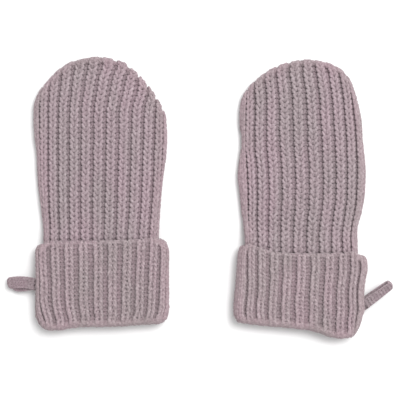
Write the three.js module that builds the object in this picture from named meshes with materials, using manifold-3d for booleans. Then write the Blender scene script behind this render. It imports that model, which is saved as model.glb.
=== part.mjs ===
// A pair of thumbless baby mittens in 1x1 rib, laid flat side by side.
// Millimetres, +Z up. Each mitten is a flattened tube of two panels. Its cuff is turned up round it,
// and a doubled hanging tape is caught in the outer side seam of the cuff.

import * as THREE from 'three';
import { mergeVertices } from 'three/addons/utils/BufferGeometryUtils.js';
import Module from 'manifold-3d';

// Cloth
const seamGap = 0.3;
const troughWall = 2.2;
const ribRelief = 1.2;
const backWall = 3.2;
const coveredWall = 2.6;
// A rounded edge: its radius, the upright lip at its rim, and how far the inner face is drawn in
const handEdge = { radius: 3.2, lip: 0.45, inset: 0.25 };
const cuffEdge = { radius: 3.9, lip: 0.9, inset: 0.8 };
const hemEdge = { radius: 1.8, lip: 1.1 };

// Stack of layers, from the surface up
const cuffLift = backWall + seamGap;
const frontBase = backWall + seamGap;
const cuffBackSeam = cuffLift + backWall;
const cuffFrontSeam = cuffLift + frontBase;
const cuffInside = cuffFrontSeam + coveredWall + seamGap;
const cuffTop = cuffInside + troughWall + ribRelief;

// Lie of the hand
const rampStart = 0.5;
const rampLength = 12;
const domeRise = 1.2;
const domeReach = 15;
const ribEndSwell = { hand: 0.5, hem: 0.25 };
const ribsReappear = { from: 0.3, over: 2.7 };
const backFoldShows = 0.7;

// Where rows of points run across: above the hem, below the crown, above the fold and below the hem
const aboveHem = [0.2, 3, 6.5, 10];
const belowCrown = [2.4, 1.1, 0.35, 0];
const aboveFold = [0, 0.3, 0.9, 2];
const belowHem = [1, 0.3, 0];
const crownBand = 4.5;
const foldBand = 3.9;
const hemBand = 2;
const leastPitch = 0.45;

// Hanging tape
const tape = { width: 6.2, thickness: 1.1, gap: 0.26, buried: 2, chamfer: 0.25 };

// Each mitten is measured from the middle of its wrist fold: up along the hand, across to the right.
// Ribs are spread across between a first and a last line, closer together towards the sides.
const mittens = [
  {
    name: 'left',
    place: { x: -50.25, y: -63 },
    colours: { hand: 0xa39298, cuff: 0xa09094, loop: 0xa8969c },
    // up, across
    leftSide: [[0, -28.2], [20, -28.4], [36, -28], [45, -27.75], [57, -29.25], [72, -31], [87, -31.75],
      [96, -33], [105, -33.5], [111, -33.25]],
    rightSide: [[0, 30.4], [20, 30.8], [36, 29.6], [45, 29.25], [57, 29.75], [72, 31], [87, 33], [96, 33],
      [105, 32.5]],
    // across, up
    crown: [[-33.25, 111], [-30.75, 117], [-25.75, 123], [-19.75, 129], [-13.75, 132.2], [-1.25, 134.5],
      [11.5, 132.2], [16, 129], [21.5, 123], [26, 117], [29.5, 111], [32.5, 105]],
    ribs: {
      count: 12, phase: 1.2, crowd: 0.52, skew: -0.17, from: 0, to: 10.75,
      // up, first, last
      lines: [[45, -32.9, 28.5], [70, -34.4, 30.3], [93, -34.7, 31.2], [108, -34.8, 31.8], [118, -34.8, 35],
        [123, -34.3, 35.9], [127, -34.6, 38.6], [130, -36, 41.9]],
    },
    cuff: {
      // up, across
      leftSide: [[5.7, -31.4], [12, -31.75], [30, -31.75], [39, -31.4]],
      rightSide: [[10.8, 34.75], [20, 34.6], [30, 34.3], [37, 33.75]],
      // across, up
      hem: [[-31.4, 39], [-28.75, 41.5], [-25.5, 42.5], [-17.75, 42.5], [-5.25, 42.7], [7.75, 43],
        [23.75, 43.65], [28.75, 44.3], [32.5, 41.5], [33.75, 37]],
      fold: [[-31.4, 5.7], [-28.75, 0.6], [-24.25, -1.65], [-17.85, -1.3], [-14, -0.35], [-5.25, 0.3],
        [7.65, 0.3], [20.25, 1.25], [29.25, 1.9], [33.15, 4.5], [34.75, 10.8]],
      mouth: [[-28.3, 4.2], [-24, 2.6], [-12, 3.9], [6, 4.3], [20, 5.2], [27, 5.9], [30.5, 7]],
      ribs: {
        count: 11, phase: 0, crowd: 0.52, skew: 0.11, from: 0, to: 9.75,
        lines: [[4, -26.8, 36.3], [8, -28.6, 38.4], [13, -29.5, 39.1], [23, -29.9, 39.6], [38, -30.6, 40.6]],
      },
    },
    loop: {
      // across, up
      path: [[-31.75, 21.3], [-38.5, 21.6], [-45.1, 21.5]],
      drop: 2.5, lean: 0, spread: 1.6,
    },
  },
  {
    name: 'right',
    place: { x: 51, y: -64 },
    colours: { hand: 0xa08f94, cuff: 0x9d8c90, loop: 0xa5949a },
    leftSide: [[0, -30.4], [10, -30.5], [20, -29.7], [30, -29], [43, -28.5], [58, -30], [67, -31],
      [76, -32], [85, -31], [94, -30], [103, -31], [109, -31]],
    rightSide: [[0, 25.4], [10, 26.9], [43, 27], [49, 27.2], [58, 29.5], [67, 31], [76, 31.5], [85, 31],
      [94, 30], [103, 29.5], [111, 27.9]],
    crown: [[-31, 109], [-30, 115], [-28.5, 118], [-23.5, 124], [-19, 127.4], [-15, 130], [-7.5, 133],
      [3, 134.5], [12.5, 133], [19, 130], [21.5, 127.4], [24, 124], [26, 118], [27.3, 114.5], [27.9, 111]],
    ribs: {
      count: 12, phase: 0, crowd: 0.76, skew: 0.04, from: 0.5, to: 10.75,
      lines: [[45, -29.9, 30.9], [57, -30.3, 32.9], [64, -30.3, 34.1], [79, -30.8, 34.6], [94, -32.1, 34.3],
        [101, -31.8, 33.6], [114, -31.5, 32.4], [124, -32.1, 30.9], [128, -32.4, 30.1], [131, -30.9, 28.6]],
    },
    cuff: {
      leftSide: [[6.05, -34], [10.5, -34.1], [20.75, -33.15], [30.3, -32.2], [39.2, -31.4]],
      rightSide: [[6.5, 30], [9.25, 30.9], [15.65, 30.7], [23.3, 31.25], [31, 32.5]],
      hem: [[-31.4, 39.2], [-29.3, 41.5], [-27.5, 41.8], [-23.6, 40.2], [-17.85, 38.6], [-12.75, 37.65],
        [-5.1, 37], [6.4, 36.7], [17.9, 36.7], [26.8, 36.7], [30, 36.5], [32, 33.7], [32.5, 31]],
      fold: [[-34, 6.05], [-31.85, 3.5], [-25.5, 2.25], [-16, 1.3], [-6.35, 0.35], [3.2, -0.65],
        [8.3, -1.9], [12.75, -3.8], [19.15, -4.75], [24.25, -4], [27.45, -0.3], [29.35, 4.2], [30, 6.5]],
      mouth: [[-30.4, 7], [-26, 6.3], [-16, 5.3], [2, 3.25], [10, 1.55], [16, -0.2], [21.5, -0.4], [25.6, 2]],
      ribs: {
        count: 11, phase: 1.2, crowd: 0.66, skew: -0.09, from: -0.75, to: 9.75,
        lines: [[5, -32.8, 29.9], [9, -33.4, 30.6], [14, -33, 30.4], [19, -32.4, 30.3], [24, -32.2, 30.8],
          [29, -32.5, 31.6]],
      },
    },
    loop: {
      path: [[30.8, 12.6], [37.3, 13.6], [43.1, 21.2]],
      drop: -0.6, lean: 0.85, spread: 0.2,
    },
  },
];

const wasm = await Module();
wasm.setup();

// Curves through table rows

function slopes(keys, values) {
  const last = keys.length - 1;
  const rise = (i) => (values[i + 1] - values[i]) / (keys[i + 1] - keys[i]);
  return keys.map((key, i) => {
    if (i === 0) return rise(0);
    if (i === last) return rise(last - 1);
    const before = rise(i - 1);
    const after = rise(i);
    return before * after <= 0 ? 0 : 2 * before * after / (before + after);
  });
}

// A smooth curve that never overshoots its rows, flat beyond both ends
function curve(rows, column = 1) {
  const keys = rows.map((row) => row[0]);
  const values = rows.map((row) => row[column]);
  const tangents = slopes(keys, values);
  return (at) => {
    if (at <= keys[0]) return values[0];
    if (at >= keys[keys.length - 1]) return values[values.length - 1];
    const i = keys.findIndex((key) => key > at) - 1;
    const span = keys[i + 1] - keys[i];
    const t = (at - keys[i]) / span;
    const s = 1 - t;
    return values[i] * s * s * (1 + 2 * t) + values[i + 1] * t * t * (3 - 2 * t)
      + span * s * t * (tangents[i] * s - tangents[i + 1] * t);
  };
}

// Straight lines through rows of a key and a value, flat beyond both ends
function straight(rows) {
  return (at) => {
    const found = rows.findIndex(([key]) => key > at);
    const i = found < 0 ? rows.length - 1 : Math.max(found, 1);
    const [[from, low], [to, high]] = [rows[i - 1], rows[i]];
    return low + (high - low) * Math.min(Math.max((at - from) / (to - from), 0), 1);
  };
}

function smooth(value) {
  const t = Math.min(Math.max(value, 0), 1);
  return t * t * (3 - 2 * t);
}

// A quarter round, from 0 at an edge to 1 at its radius
function quarterRound(distance, radius) {
  const short = 1 - Math.min(distance / radius, 1);
  return Math.sqrt(1 - short * short);
}

// Ribs

// How far across the rib line k lies: whole numbers are troughs and halves are crests
function ribLine(ribs) {
  const first = curve(ribs.lines, 1);
  const last = curve(ribs.lines, 2);
  const swing = ribs.crowd * Math.PI / 2;
  return (k, up) => {
    const even = (k + ribs.phase) / ribs.count;
    const turned = even + ribs.skew * even * (1 - even);
    const part = 0.5 + 0.5 * Math.sin(swing * (2 * turned - 1)) / Math.sin(swing);
    return first(up) + part * (last(up) - first(up));
  };
}

function ribHeight(k) {
  return Math.pow(Math.abs(Math.sin(Math.PI * k)), 0.6);
}

// The lengthwise lines of a panel: its two edges, two lines inside each, and so many to each rib between.
// The inner of the two side lines is given, or lies just inside the outer one.
function lengthLines(ribs, edges, linesToRib, marks) {
  const step = 1 / linesToRib;
  const sideLines = 3;
  const lineAt = ribLine(ribs);
  const total = Math.floor((ribs.to - ribs.from) / step) + 2 * sideLines;
  const side = (which, inward) => (up) => {
    const edge = edges[which](up);
    return [edge, edge + inward * leastPitch, marks ? marks[which](up) : edge + inward * 2.6 * leastPitch];
  };
  const left = side(0, 1);
  const right = side(1, -1);
  const lines = [];
  for (let i = 0; i <= total; i++) {
    const fromRight = total - i;
    const k = ribs.from + (i - sideLines) * step;
    const atSide = i < sideLines || fromRight < sideLines;
    lines.push({
      rib: atSide ? 0.5 : ribHeight(k),
      across(up) {
        if (i < sideLines) return left(up)[i];
        if (fromRight < sideLines) return right(up)[fromRight];
        const lowest = left(up)[2] + leastPitch * (i - 2);
        const highest = right(up)[2] - leastPitch * (fromRight - 2);
        return Math.min(Math.max(lineAt(k, up), lowest), highest);
      },
    });
  }
  return lines;
}

// Where a lengthwise line meets an edge that runs across
function meet(line, edge, start) {
  let up = start;
  for (let i = 0; i < 12; i++) up = edge(line.across(up));
  return up;
}

// The distance in plan from a point to the nearest stretch of an edge
function distanceTo(edge, point) {
  let nearest = Infinity;
  for (let i = 0; i + 1 < edge.length; i++) {
    const dx = edge[i + 1].x - edge[i].x;
    const dy = edge[i + 1].up - edge[i].up;
    const along = ((point.x - edge[i].x) * dx + (point.up - edge[i].up) * dy) / (dx * dx + dy * dy);
    const t = Math.min(Math.max(along, 0), 1);
    nearest = Math.min(nearest, Math.hypot(edge[i].x + t * dx - point.x, edge[i].up + t * dy - point.up));
  }
  return nearest;
}

// Closed walls

// Every step-th index, with the last one
function every(count, step) {
  const chosen = [];
  for (let i = 0; i < count - step / 2 - 1; i += step) chosen.push(i);
  chosen.push(count - 1);
  return chosen;
}

// The four borders of a grid, anticlockwise seen from above, each with its points and how far on each lies
function borders(grid) {
  const last = grid.length - 1;
  const firstRow = grid.map((column) => column[0]);
  const lastRow = grid.map((column) => column[column.length - 1]);
  return [
    { points: firstRow, on: (point) => point.x },
    { points: grid[last], on: (point) => point.y },
    { points: lastRow.slice().reverse(), on: (point) => -point.x },
    { points: grid[0].slice().reverse(), on: (point) => -point.y },
  ];
}

// A closed wall between a fine face and a plain one, both grids of points by column and row.
// The fine face looks up, or down on a wall that faces the surface.
function wall(fine, plain, looksUp) {
  const corners = [];
  const turn = (a, b, c) => corners.push(...(looksUp ? [a, b, c] : [a, c, b]));
  const cover = (grid, up) => {
    for (let i = 0; i + 1 < grid.length; i++) {
      for (let j = 0; j + 1 < grid[i].length; j++) {
        const [a, b, c, d] = [grid[i][j], grid[i + 1][j], grid[i + 1][j + 1], grid[i][j + 1]];
        if (up) {
          turn(a, b, c);
          turn(a, c, d);
        } else {
          turn(a, c, b);
          turn(a, d, c);
        }
      }
    }
  };
  cover(fine, true);
  cover(plain, false);
  const plainBorders = borders(plain);
  borders(fine).forEach(({ points: outer, on }, side) => {
    const inner = plainBorders[side].points;
    let a = 0;
    let b = 0;
    while (a + 1 < outer.length || b + 1 < inner.length) {
      const outerNext = a + 1 < outer.length ? on(outer[a + 1]) : Infinity;
      const innerNext = b + 1 < inner.length ? on(inner[b + 1]) : Infinity;
      if (outerNext <= innerNext) {
        turn(outer[a], inner[b], outer[a + 1]);
        a += 1;
      } else {
        turn(outer[a], inner[b], inner[b + 1]);
        b += 1;
      }
    }
  });
  return fromCorners(corners);
}

// A mesh from triples of corners, without those that close up on themselves
function fromCorners(corners) {
  const loose = new THREE.BufferGeometry();
  const numbers = corners.flatMap(({ x, y, z }) => [x, y, z]);
  loose.setAttribute('position', new THREE.Float32BufferAttribute(numbers, 3));
  const geometry = mergeVertices(loose, 1e-4);
  const index = geometry.index.array;
  const kept = [];
  for (let n = 0; n < index.length; n += 3) {
    const [a, b, c] = index.slice(n, n + 3);
    if (a !== b && b !== c && c !== a) kept.push(a, b, c);
  }
  geometry.setIndex(kept);
  return geometry;
}

// Joins and cuts

function toSolid(geometry) {
  const bare = geometry.clone();
  bare.deleteAttribute('normal');
  bare.deleteAttribute('uv');
  const merged = mergeVertices(bare, 1e-5);
  return new wasm.Manifold(new wasm.Mesh({
    numProp: 3,
    vertProperties: new Float32Array(merged.attributes.position.array),
    triVerts: new Uint32Array(merged.index.array),
  }));
}

function toGeometry(solid) {
  const mesh = solid.getMesh();
  const geometry = new THREE.BufferGeometry();
  geometry.setAttribute('position', new THREE.BufferAttribute(mesh.vertProperties, 3));
  geometry.setIndex(new THREE.BufferAttribute(mesh.triVerts, 1));
  return geometry;
}

// Hand panels

function withoutRepeats(edge) {
  const step = (i) => Math.hypot(edge[i].x - edge[i - 1].x, edge[i].up - edge[i - 1].up);
  return edge.filter((point, i) => i === 0 || step(i) > 1e-6);
}

// The plan of a hand panel, from the mouth to the crown
function handPlan(mitten, linesToRib, stretches) {
  const crown = curve(mitten.crown);
  const hem = curve(mitten.cuff.hem);
  const mouth = straight(mitten.cuff.mouth);
  const sides = [curve(mitten.leftSide), curve(mitten.rightSide)];
  const lines = lengthLines(mitten.ribs, sides, linesToRib);
  const last = lines.length - 1;
  const plan = lines.map((line, i) => {
    const corner = i === 0 ? mitten.crown[0] : mitten.crown[mitten.crown.length - 1];
    const atSide = i === 0 || i === last;
    const top = atSide ? corner[1] : meet(line, crown, 120);
    const end = top + (atSide ? 0 : ribEndSwell.hand * (line.rib - 0.5));
    const covered = meet(line, hem, 40);
    const low = meet(line, mouth, 4);
    const open = covered + rampStart + rampLength;
    const heights = [low, (low + covered) / 2, ...aboveHem.map((above) => covered + above), open];
    for (let n = 1; n <= stretches; n++) heights.push(open + (end - crownBand - open) * n / stretches);
    heights.push(...belowCrown.map((below) => end - below));
    return heights.map((up) => ({ x: line.across(up), up, rib: line.rib, hem: covered }));
  });
  const crownRow = plan.map((column) => column[column.length - 1]);
  const edge = withoutRepeats([...plan[0], ...crownRow, ...plan[last].slice().reverse()]);
  for (const point of plan.flat()) point.inside = distanceTo(edge, point);
  return plan;
}

// The points of a face over a plan
function face(plan, height) {
  return plan.map((column) => column.map((point) => new THREE.Vector3(point.x, point.up, height(point))));
}

// A plain face over the same plan, with fewer points and its border drawn in a little
function plainFace(plan, columnStep, rowStep, inset, height) {
  const columns = every(plan.length, columnStep);
  const rows = every(plan[0].length, rowStep);
  return columns.map((i) => rows.map((j) => {
    const point = plan[i][j];
    const inX = i === 0 ? inset : i === plan.length - 1 ? -inset : 0;
    const inY = j === 0 ? inset : j === plan[0].length - 1 ? -inset : 0;
    return new THREE.Vector3(point.x + inX, point.up + inY, height(point));
  }));
}

// How far a point of a hand panel is lifted by the back of the cuff
function lift(point) {
  return cuffLift * (1 - smooth((point.up - point.hem - rampStart) / rampLength));
}

function frontPanel(mitten) {
  const linesToRib = 4;
  const plan = handPlan(mitten, linesToRib, 5);
  const inside = (point) => {
    const clear = smooth((point.up - point.hem) / domeReach);
    return frontBase + lift(point) + domeRise * smooth(point.inside / domeReach) * clear;
  };
  const outside = (point) => {
    const shown = smooth((point.up - point.hem - ribsReappear.from) / ribsReappear.over);
    const thick = coveredWall + shown * (troughWall + ribRelief * point.rib - coveredWall);
    const round = quarterRound(point.inside, handEdge.radius);
    return inside(point) + handEdge.lip + (thick - handEdge.lip) * round;
  };
  return wall(face(plan, outside), plainFace(plan, linesToRib, 1, handEdge.inset, inside), true);
}

function backPanel(mitten) {
  const plan = handPlan(mitten, 1, 4);
  const inside = (point) => backWall + lift(point);
  const outside = (point) => {
    const round = 1 - quarterRound(point.inside, handEdge.radius);
    return lift(point) + (backWall - handEdge.lip) * round;
  };
  return wall(face(plan, outside), plainFace(plan, 2, 1, handEdge.inset, inside), false);
}

// Cuff

// The sides of the room that the hand panels take inside the cuff
function roomSides(mitten) {
  const left = curve(mitten.leftSide);
  const right = curve(mitten.rightSide);
  return [(up) => left(up) - seamGap, (up) => right(up) + seamGap];
}

// The plan of half a cuff, from the wrist fold to the hem
function cuffPlan(mitten, { linesToRib, foldDrop, swell }) {
  const { cuff } = mitten;
  const hem = curve(cuff.hem);
  const fold = curve(cuff.fold);
  const sides = [curve(cuff.leftSide), curve(cuff.rightSide)];
  const lines = lengthLines(cuff.ribs, sides, linesToRib, roomSides(mitten));
  const last = lines.length - 1;
  const plan = lines.map((line, i) => {
    const side = i === 0 ? cuff.leftSide : cuff.rightSide;
    const atSide = i === 0 || i === last;
    const middle = smooth(2 * i / linesToRib) * smooth(2 * (last - i) / linesToRib);
    const low = (atSide ? side[0][0] : meet(line, fold, 2)) - foldDrop * middle;
    const hemUp = atSide ? side[side.length - 1][0] : meet(line, hem, 40);
    const high = hemUp + swell * middle * (line.rib - 0.5);
    const heights = aboveFold.map((above) => low + above);
    const stretch = high - hemBand - low - foldBand;
    for (let n = 0; n <= 4; n++) heights.push(low + foldBand + stretch * n / 4);
    heights.push(...belowHem.map((below) => high - below));
    return heights.map((up) => ({ x: line.across(up), up, rib: line.rib }));
  });
  const hemRow = withoutRepeats(plan.map((column) => column[column.length - 1]));
  const foldRow = plan.map((column) => column[0]);
  const edge = withoutRepeats([...plan[0].slice().reverse(), ...foldRow, ...plan[last]]);
  for (const point of plan.flat()) {
    point.inside = distanceTo(edge, point);
    point.fromHem = distanceTo(hemRow, point);
  }
  return plan;
}

// The inner face of half a cuff: flat at the side seams and the fold, with a step up to the room for the hand
function cuffInnerFace(mitten, plan, seam, room) {
  const { cuff } = mitten;
  const [left, right] = roomSides(mitten);
  const mouth = cuff.mouth.map(([x, up]) => [x, up - seamGap]);
  const cornerUp = { left: mouth[0][1], right: mouth[mouth.length - 1][1] };
  const hem = curve(cuff.hem);
  const lastColumn = plan.length - 1;
  const lastRow = plan[0].length - 1;
  const { inset } = cuffEdge;
  const between = (low, high) => [low, (low + high) / 2, high];
  const column = (points, deep) => (
    points.map(([x, up], j) => new THREE.Vector3(x, up, deep && j > 1 ? room : seam))
  );

  // A side border, with as many rows as the room has
  const sideBorder = (i, inX) => {
    const across = straight(plan[i].map((point) => [point.up, point.x]));
    const foldEnd = plan[i][0];
    const hemEnd = plan[i][lastRow];
    const rows = between(foldEnd.up + foldBand, hemEnd.up - inset);
    const points = [[foldEnd.x + inX, foldEnd.up + inset], [foldEnd.x + inX, rows[0]]];
    for (const up of rows) points.push([across(up) + inX, up]);
    return points;
  };
  // A line of the room that starts at the fold and passes the mouth
  const roomLine = (foldUp, mouthUp, across, hemUp) => {
    const rows = between(mouthUp, hemUp);
    return [[across(mouthUp), foldUp], [across(mouthUp), mouthUp], ...rows.map((up) => [across(up), up])];
  };
  const rowLine = (j) => straight(plan.map((points) => [points[j].x, points[j].up]));
  const foldAt = (x) => rowLine(0)(x) + inset;
  const hemAt = (x) => rowLine(lastRow)(x) - inset;
  const sideOfRoom = (across, mouthUp) => {
    const hemEnd = hemAt(across(meet({ across }, hem, 40)));
    return roomLine(foldAt(across(mouthUp)), mouthUp, across, hemEnd);
  };
  const leftLine = sideOfRoom(left, cornerUp.left);
  const rightLine = sideOfRoom(right, cornerUp.right);
  const middle = mouth.slice(1, -1).map(([x, up]) => roomLine(foldAt(x), up, () => x, hemAt(x)));
  return [
    column(sideBorder(0, inset), false),
    column(leftLine, false),
    column(leftLine, true),
    ...middle.map((line) => column(line, true)),
    column(rightLine, true),
    column(rightLine, false),
    column(sideBorder(lastColumn, -inset), false),
  ];
}

// One half of the cuff, from the seam outwards
function cuffHalf(mitten, half) {
  const { seam, height, relief, roomDepth, way } = half;
  const plan = cuffPlan(mitten, half);
  const outside = (point) => {
    const tall = height - relief + relief * point.rib;
    const full = cuffEdge.lip + (tall - cuffEdge.lip) * quarterRound(point.inside, cuffEdge.radius);
    const hemBase = Math.min(full, roomDepth + hemEdge.lip);
    return seam + way * (hemBase + (full - hemBase) * quarterRound(point.fromHem, hemEdge.radius));
  };
  const inner = cuffInnerFace(mitten, plan, seam, seam + way * roomDepth);
  return toSolid(wall(face(plan, outside), inner, way > 0));
}

const frontHalf = {
  way: 1,
  seam: cuffFrontSeam,
  height: cuffTop - cuffFrontSeam,
  roomDepth: cuffInside - cuffFrontSeam,
  relief: ribRelief,
  linesToRib: 4,
  foldDrop: 0,
  swell: ribEndSwell.hem,
};
const backHalf = {
  way: -1,
  seam: cuffBackSeam,
  height: cuffBackSeam,
  roomDepth: cuffBackSeam - backWall,
  relief: 0,
  linesToRib: 1,
  foldDrop: backFoldShows,
  swell: 0,
};

// Hanging tape

const tapeSeam = (cuffFrontSeam + cuffBackSeam) / 2;

// The middle line of the tape in plan, through its three points
function tapeAxis(loop) {
  const [start, bend, end] = loop.path.map(([x, up]) => new THREE.Vector2(x, up));
  const control = bend.clone().multiplyScalar(2).addScaledVector(start, -0.5).addScaledVector(end, -0.5);
  return new THREE.QuadraticBezierCurve(start, control, end);
}

// A station of the doubled tape. t runs from the cuff to the tip, and angle from the upper layer, at 0,
// round the tip to the lower one, at half a turn. buried is how far it is drawn back into the seam.
function tapeStation(loop, t, angle, buried = 0) {
  const axis = tapeAxis(loop);
  const place = axis.getPoint(t);
  const heading = axis.getTangent(t);
  const forward = new THREE.Vector3(heading.x, heading.y, 0);
  const across = new THREE.Vector3(-heading.y, heading.x, 0).applyAxisAngle(forward, loop.lean * smooth(t));
  const upward = forward.clone().cross(across).normalize();
  const out = upward.clone().multiplyScalar(Math.cos(angle)).addScaledVector(forward, Math.sin(angle));
  const lower = (1 - Math.cos(angle)) / 2;
  const middle = new THREE.Vector3(place.x, place.y, tapeSeam - loop.drop * smooth(t));
  middle.addScaledVector(out, (tape.gap + tape.thickness) / 2);
  middle.addScaledVector(across, -loop.spread * lower * Math.sin(Math.PI * t));
  middle.addScaledVector(forward, -buried);
  return { middle, across, out };
}

// Eight corners of the tape's section at a station
function tapeSection({ middle, across, out }) {
  const w = tape.width / 2;
  const h = tape.thickness / 2;
  const c = tape.chamfer;
  const quarter = [[w, h - c], [w - c, h]];
  const half = [...quarter, ...quarter.map(([a, b]) => [-a, b]).reverse()];
  const corners = [...half, ...half.map(([a, b]) => [-a, -b])];
  return corners.map(([a, b]) => middle.clone().addScaledVector(across, a).addScaledVector(out, b));
}

function tapeLoop(loop) {
  const steps = 9;
  const bends = 6;
  const stations = [tapeStation(loop, 0, 0, tape.buried)];
  for (let n = 0; n <= steps; n++) stations.push(tapeStation(loop, n / steps, 0));
  for (let n = 1; n < bends; n++) stations.push(tapeStation(loop, 1, Math.PI * n / bends));
  for (let n = steps; n >= 0; n--) stations.push(tapeStation(loop, n / steps, Math.PI));
  stations.push(tapeStation(loop, 0, Math.PI, tape.buried));
  const positions = [];
  const faces = [];
  const sides = 8;
  for (const station of stations) {
    for (const corner of tapeSection(station)) positions.push(corner.x, corner.y, corner.z);
  }
  for (let n = 0; n + 1 < stations.length; n++) {
    for (let side = 0; side < sides; side++) {
      const next = (side + 1) % sides;
      const [a, b] = [n * sides + side, n * sides + next];
      faces.push(a, b, b + sides, a, b + sides, a + sides);
    }
  }
  const end = (stations.length - 1) * sides;
  for (let side = 1; side + 1 < sides; side++) {
    faces.push(0, side + 1, side);
    faces.push(end, end + side, end + side + 1);
  }
  const geometry = new THREE.BufferGeometry();
  geometry.setAttribute('position', new THREE.Float32BufferAttribute(positions, 3));
  geometry.setIndex(faces);
  return geometry;
}

// The notch in the side seam that the tape is caught in
function tapeNotch(loop) {
  const axis = tapeAxis(loop);
  const place = axis.getPoint(0);
  const heading = axis.getTangent(0);
  const reach = tape.buried + 3;
  const tall = 2 * tape.thickness + tape.gap + 2 * seamGap;
  const notch = new THREE.BoxGeometry(reach, tape.width + 2 * seamGap, tall);
  notch.translate(reach / 2 - tape.buried - seamGap, 0, 0);
  notch.rotateZ(Math.atan2(heading.y, heading.x));
  notch.translate(place.x, place.y, tapeSeam);
  return toSolid(notch);
}

// The pair

function addPiece(group, name, geometry, colour) {
  const wool = new THREE.MeshStandardMaterial({ color: colour, roughness: 0.95, metalness: 0 });
  const mesh = new THREE.Mesh(geometry, wool);
  mesh.name = name;
  group.add(mesh);
}

function buildMitten(mitten) {
  const group = new THREE.Group();
  group.position.set(mitten.place.x, mitten.place.y, 0);
  const notch = tapeNotch(mitten.loop);
  const cuff = (half) => toGeometry(cuffHalf(mitten, half).subtract(notch));
  addPiece(group, `${mitten.name}_front`, frontPanel(mitten), mitten.colours.hand);
  addPiece(group, `${mitten.name}_back`, backPanel(mitten), mitten.colours.hand);
  addPiece(group, `${mitten.name}_cuff_front`, cuff(frontHalf), mitten.colours.cuff);
  addPiece(group, `${mitten.name}_cuff_back`, cuff(backHalf), mitten.colours.cuff);
  addPiece(group, `${mitten.name}_loop`, tapeLoop(mitten.loop), mitten.colours.loop);
  return group;
}

const pair = new THREE.Group();
for (const mitten of mittens) pair.add(buildMitten(mitten));

// The origin is in the middle of the pair, on the surface that it lies on
const extent = new THREE.Box3().setFromObject(pair, true);
const middle = extent.getCenter(new THREE.Vector3());
pair.position.set(-middle.x, -middle.y, 0);

export default pair;
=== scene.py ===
"""A pair of thumbless baby mittens in 1x1 rib, laid flat: each knitted from yarn, stitch by stitch."""

import math

import bmesh
import bpy
import numpy as np
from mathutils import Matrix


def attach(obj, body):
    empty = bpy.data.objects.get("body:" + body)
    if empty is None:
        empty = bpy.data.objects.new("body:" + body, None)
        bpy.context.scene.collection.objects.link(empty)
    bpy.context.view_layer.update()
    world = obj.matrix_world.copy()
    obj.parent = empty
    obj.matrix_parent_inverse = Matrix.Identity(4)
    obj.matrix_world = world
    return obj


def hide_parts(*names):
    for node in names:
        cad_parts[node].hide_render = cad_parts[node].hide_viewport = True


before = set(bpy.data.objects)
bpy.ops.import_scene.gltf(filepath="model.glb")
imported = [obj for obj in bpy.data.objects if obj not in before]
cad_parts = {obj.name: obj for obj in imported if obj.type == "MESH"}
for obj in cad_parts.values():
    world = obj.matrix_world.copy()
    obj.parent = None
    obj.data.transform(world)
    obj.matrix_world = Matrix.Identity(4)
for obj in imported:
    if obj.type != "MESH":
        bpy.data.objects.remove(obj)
bpy.context.view_layer.update()

MM = 0.001
rng = np.random.default_rng(7)

# Gauge, in mm
HAND_ROW = 2.65
HAND_YARN = 0.80
CUFF_YARN = 0.72
CUFF_ROWS = 21
POINTS_TO_STITCH = {"front": 14, "back": 9}
YARN_SIDES = {"front": 6, "back": 5}

# Layers from the surface up, in mm, as in the solids
SEAM_GAP = 0.3
BACK_WALL = 3.2
PANEL_WALL = 3.4
COVERED_WALL = 2.6
CUFF_LIFT = BACK_WALL + SEAM_GAP
FRONT_BASE = BACK_WALL + SEAM_GAP
CUFF_MIDDLE = CUFF_LIFT + FRONT_BASE - SEAM_GAP / 2
CUFF_TOP = CUFF_LIFT + FRONT_BASE + COVERED_WALL + SEAM_GAP + PANEL_WALL
HAND_MIDDLE = BACK_WALL + SEAM_GAP / 2
RAMP = {"start": 0.5, "length": 12}
DOME = {"rise": 1.2, "reach": 15}

# How the yarn lies in a stitch: its waist and lean in stitches, its height in rows, and the depths of its
# relief and its rib in mm. A rib is wider than a trough by crowd. The hand is knitted upwards, and the
# turned-up cuff shows downwards. calm is the share of the relief that stays where the knitting smooths out,
# and the depth shading says how strongly painted shade darkens its depths.
HAND_STITCH = {
    "waist": 0.265, "lean": 0, "height": 0.84, "relief": 0.53, "rib": 1.15, "crowd": 0.085,
    "upward": 1, "calm": 0.14, "depth_shading": 1.0,
}
CUFF_STITCH = {
    "waist": 0.225, "lean": 0.04, "height": 0.95, "relief": 0.42, "rib": 1.06, "crowd": 0.05,
    "upward": -1, "calm": 0.1, "depth_shading": 0.8,
}
DEEPEST_YARN = 3.4
CALM_YARN = 0.1
RIB_ROUNDING = 0.6
FREE_EDGE_RIB = {"share": 0.45, "rows": 1.8}
NO_FREE_EDGE = 1000.0

# How unevenly the stitches lie: in rows, in stitches, in mm and as a share of the yarn
UNEVEN = {"height": 0.06, "across": 0.035, "depth": 0.08, "thick": 0.06}
UNEVEN_ROWS = 200

# Painted shade in the yarn's depths: over how many mm it darkens, and how much each stitch darkens at its
# base
DEPTH_SHADE = {"over": 1.6, "stitch": 0.5, "calm_loss": 0.8, "calm_stitch_loss": 0.5}

# How a tube turns over its edge, in mm: its radius in plan, from where and over what width the knitting
# smooths out, and how far in the painted shade of the rounded edge, darker and pinker, reaches
HAND_EDGE = {"radius": 3.2, "calm_from": 0.6, "calm_over": 3.0, "edge_shade_reach": 9.0}
CUFF_EDGE = {"radius": 3.9, "calm_from": 2.0, "calm_over": 3.2, "edge_shade_reach": 6.0}
SIDE_CALM = {"amount": 0.8, "over": 1.4}
OUTLINE_NAP = 0.45
PAST_EDGE = 0.35

# The dip along the fold between the cuff's front and back, in mm
SLIT = {"from_corner": 3, "fade": 5, "deep": 4.0, "tall": 1.3}

# Depths in mm of the thin cloth under the yarn, inside and at the edges that ribs run over
UNDER = {"crest": 1.5, "trough": 3.0, "edge_crest": 0.85, "edge_trough": 1.2, "inner": 3.3}
CLOTH_POINTS = 100

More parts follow.
